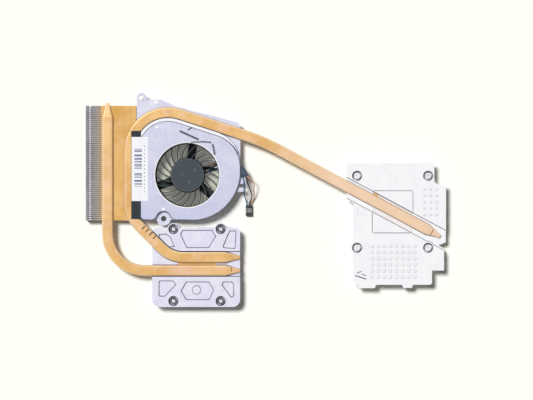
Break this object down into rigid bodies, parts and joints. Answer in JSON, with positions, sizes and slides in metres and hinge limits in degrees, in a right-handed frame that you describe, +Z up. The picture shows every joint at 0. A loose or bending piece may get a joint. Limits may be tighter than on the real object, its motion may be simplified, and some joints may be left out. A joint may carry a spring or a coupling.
{
  "type": "laptop cooling fan heatsink",
  "caption": "Flat laptop cooler: blower fan, folded fin stack, two flattened copper heat pipes and two chip plates with spring-loaded captive screws.",
  "frame": {"origin": "middle of the part's outline, on the surface that it lies on", "axes": "+X from the fin stack to the graphics plate, +Y towards the fan's two-hole ear, +Z up"},
  "size_m": [0.2776, 0.165, 0.0124],
  "materials": {
    "cast_frame": "fine matt cast",
    "cover_sheet": "grained sheet",
    "bottom_sheet": "dark painted sheet",
    "cast_cpu": "fine matt cast",
    "cast_gpu": "fine matt cast",
    "copper_pipe": "drawn copper",
    "copper_wick": "sintered copper",
    "copper_plate": "rolled copper",
    "fin_sheet": "thin rolled sheet",
    "black_plastic": "moulded",
    "steel": "plated",
    "magnet": "sintered",
    "winding": "enamelled wire",
    "bearing": "turned",
    "board": "laminate",
    "foam": "fine foam",
    "paper": "coated paper",
    "sleeve": "shrunk tube",
    "wire_blue": "insulation",
    "wire_white": "insulation",
    "wire_black": "insulation",
    "wire_red": "insulation",
    "contact": "plated"
  },
  "bodies": {
    "assembly": {"fan_frame": "cast_frame", "fan_cover": "cover_sheet", "fan_bottom_plate": "bottom_sheet", "bearing_tube": "bearing", "bearing_sleeve": "bearing", "thrust_pad": "board", "motor_board": "board", "stator_core": "magnet", "stator_windings": "winding", "fin_stack": "fin_sheet", "duct_plate": "copper_plate", "heat_pipe_long": "copper_pipe", "heat_pipe_long_wick": "copper_wick", "heat_pipe_short": "copper_pipe", "heat_pipe_short_wick": "copper_wick", "cpu_plate": "cast_cpu", "cpu_contact_block": "copper_plate", "gpu_plate": "cast_gpu", "gpu_contact_block": "copper_plate", "foam_strip": "foam", "paper_label": "paper", "lead_sleeve": "sleeve", "lead_wire_blue": "wire_blue", "lead_wire_white": "wire_white", "lead_wire_black": "wire_black", "lead_wire_red": "wire_red", "lead_connector": "black_plastic", "lead_contacts": "contact", "cpu_spring_1": "steel", "cpu_spring_2": "steel", "cpu_spring_3": "steel", "cpu_spring_4": "steel", "gpu_spring_1": "steel", "gpu_spring_2": "steel", "gpu_spring_3": "steel", "gpu_spring_4": "steel"},
    "rotor": {"impeller": "black_plastic", "rotor_yoke": "steel", "rotor_magnet": "magnet", "rotor_shaft": "steel"},
    "cpu_screw_1": {"cpu_screw_1": "steel", "cpu_clip_1": "steel"},
    "cpu_screw_2": {"cpu_screw_2": "steel", "cpu_clip_2": "steel"},
    "cpu_screw_3": {"cpu_screw_3": "steel", "cpu_clip_3": "steel"},
    "cpu_screw_4": {"cpu_screw_4": "steel", "cpu_clip_4": "steel"},
    "gpu_screw_1": {"gpu_screw_1": "steel", "gpu_clip_1": "steel"},
    "gpu_screw_2": {"gpu_screw_2": "steel", "gpu_clip_2": "steel"},
    "gpu_screw_3": {"gpu_screw_3": "steel", "gpu_clip_3": "steel"},
    "gpu_screw_4": {"gpu_screw_4": "steel", "gpu_clip_4": "steel"}
  },
  "joints": [
    {"name": "fan_spin", "type": "hinge", "parent": "assembly", "child": "rotor", "pos_m": [-0.0604, 0.0191, 0.005], "axis": [0, 0, 1], "continuous": true},
    {"name": "cpu_screw_1_press", "type": "slide", "parent": "assembly", "child": "cpu_screw_1", "axis": [0, 0, 1], "range_m": [-0.0017, 0], "stiffness_N_per_m": 1200, "springref_m": 0.0015, "deforming": ["cpu_spring_1"]},
    {"name": "cpu_screw_2_press", "type": "slide", "parent": "assembly", "child": "cpu_screw_2", "axis": [0, 0, 1], "range_m": [-0.0017, 0], "stiffness_N_per_m": 1200, "springref_m": 0.0015, "deforming": ["cpu_spring_2"]},
    {"name": "cpu_screw_3_press", "type": "slide", "parent": "assembly", "child": "cpu_screw_3", "axis": [0, 0, 1], "range_m": [-0.0017, 0], "stiffness_N_per_m": 1200, "springref_m": 0.0015, "deforming": ["cpu_spring_3"]},
    {"name": "cpu_screw_4_press", "type": "slide", "parent": "assembly", "child": "cpu_screw_4", "axis": [0, 0, 1], "range_m": [-0.0017, 0], "stiffness_N_per_m": 1200, "springref_m": 0.0015, "deforming": ["cpu_spring_4"]},
    {"name": "gpu_screw_1_press", "type": "slide", "parent": "assembly", "child": "gpu_screw_1", "axis": [0, 0, 1], "range_m": [-0.0017, 0], "stiffness_N_per_m": 1200, "springref_m": 0.0015, "deforming": ["gpu_spring_1"]},
    {"name": "gpu_screw_2_press", "type": "slide", "parent": "assembly", "child": "gpu_screw_2", "axis": [0, 0, 1], "range_m": [-0.0017, 0], "stiffness_N_per_m": 1200, "springref_m": 0.0015, "deforming": ["gpu_spring_2"]},
    {"name": "gpu_screw_3_press", "type": "slide", "parent": "assembly", "child": "gpu_screw_3", "axis": [0, 0, 1], "range_m": [-0.0017, 0], "stiffness_N_per_m": 1200, "springref_m": 0.0015, "deforming": ["gpu_spring_3"]},
    {"name": "gpu_screw_4_press", "type": "slide", "parent": "assembly", "child": "gpu_screw_4", "axis": [0, 0, 1], "range_m": [-0.0017, 0], "stiffness_N_per_m": 1200, "springref_m": 0.0015, "deforming": ["gpu_spring_4"]}
  ]
}
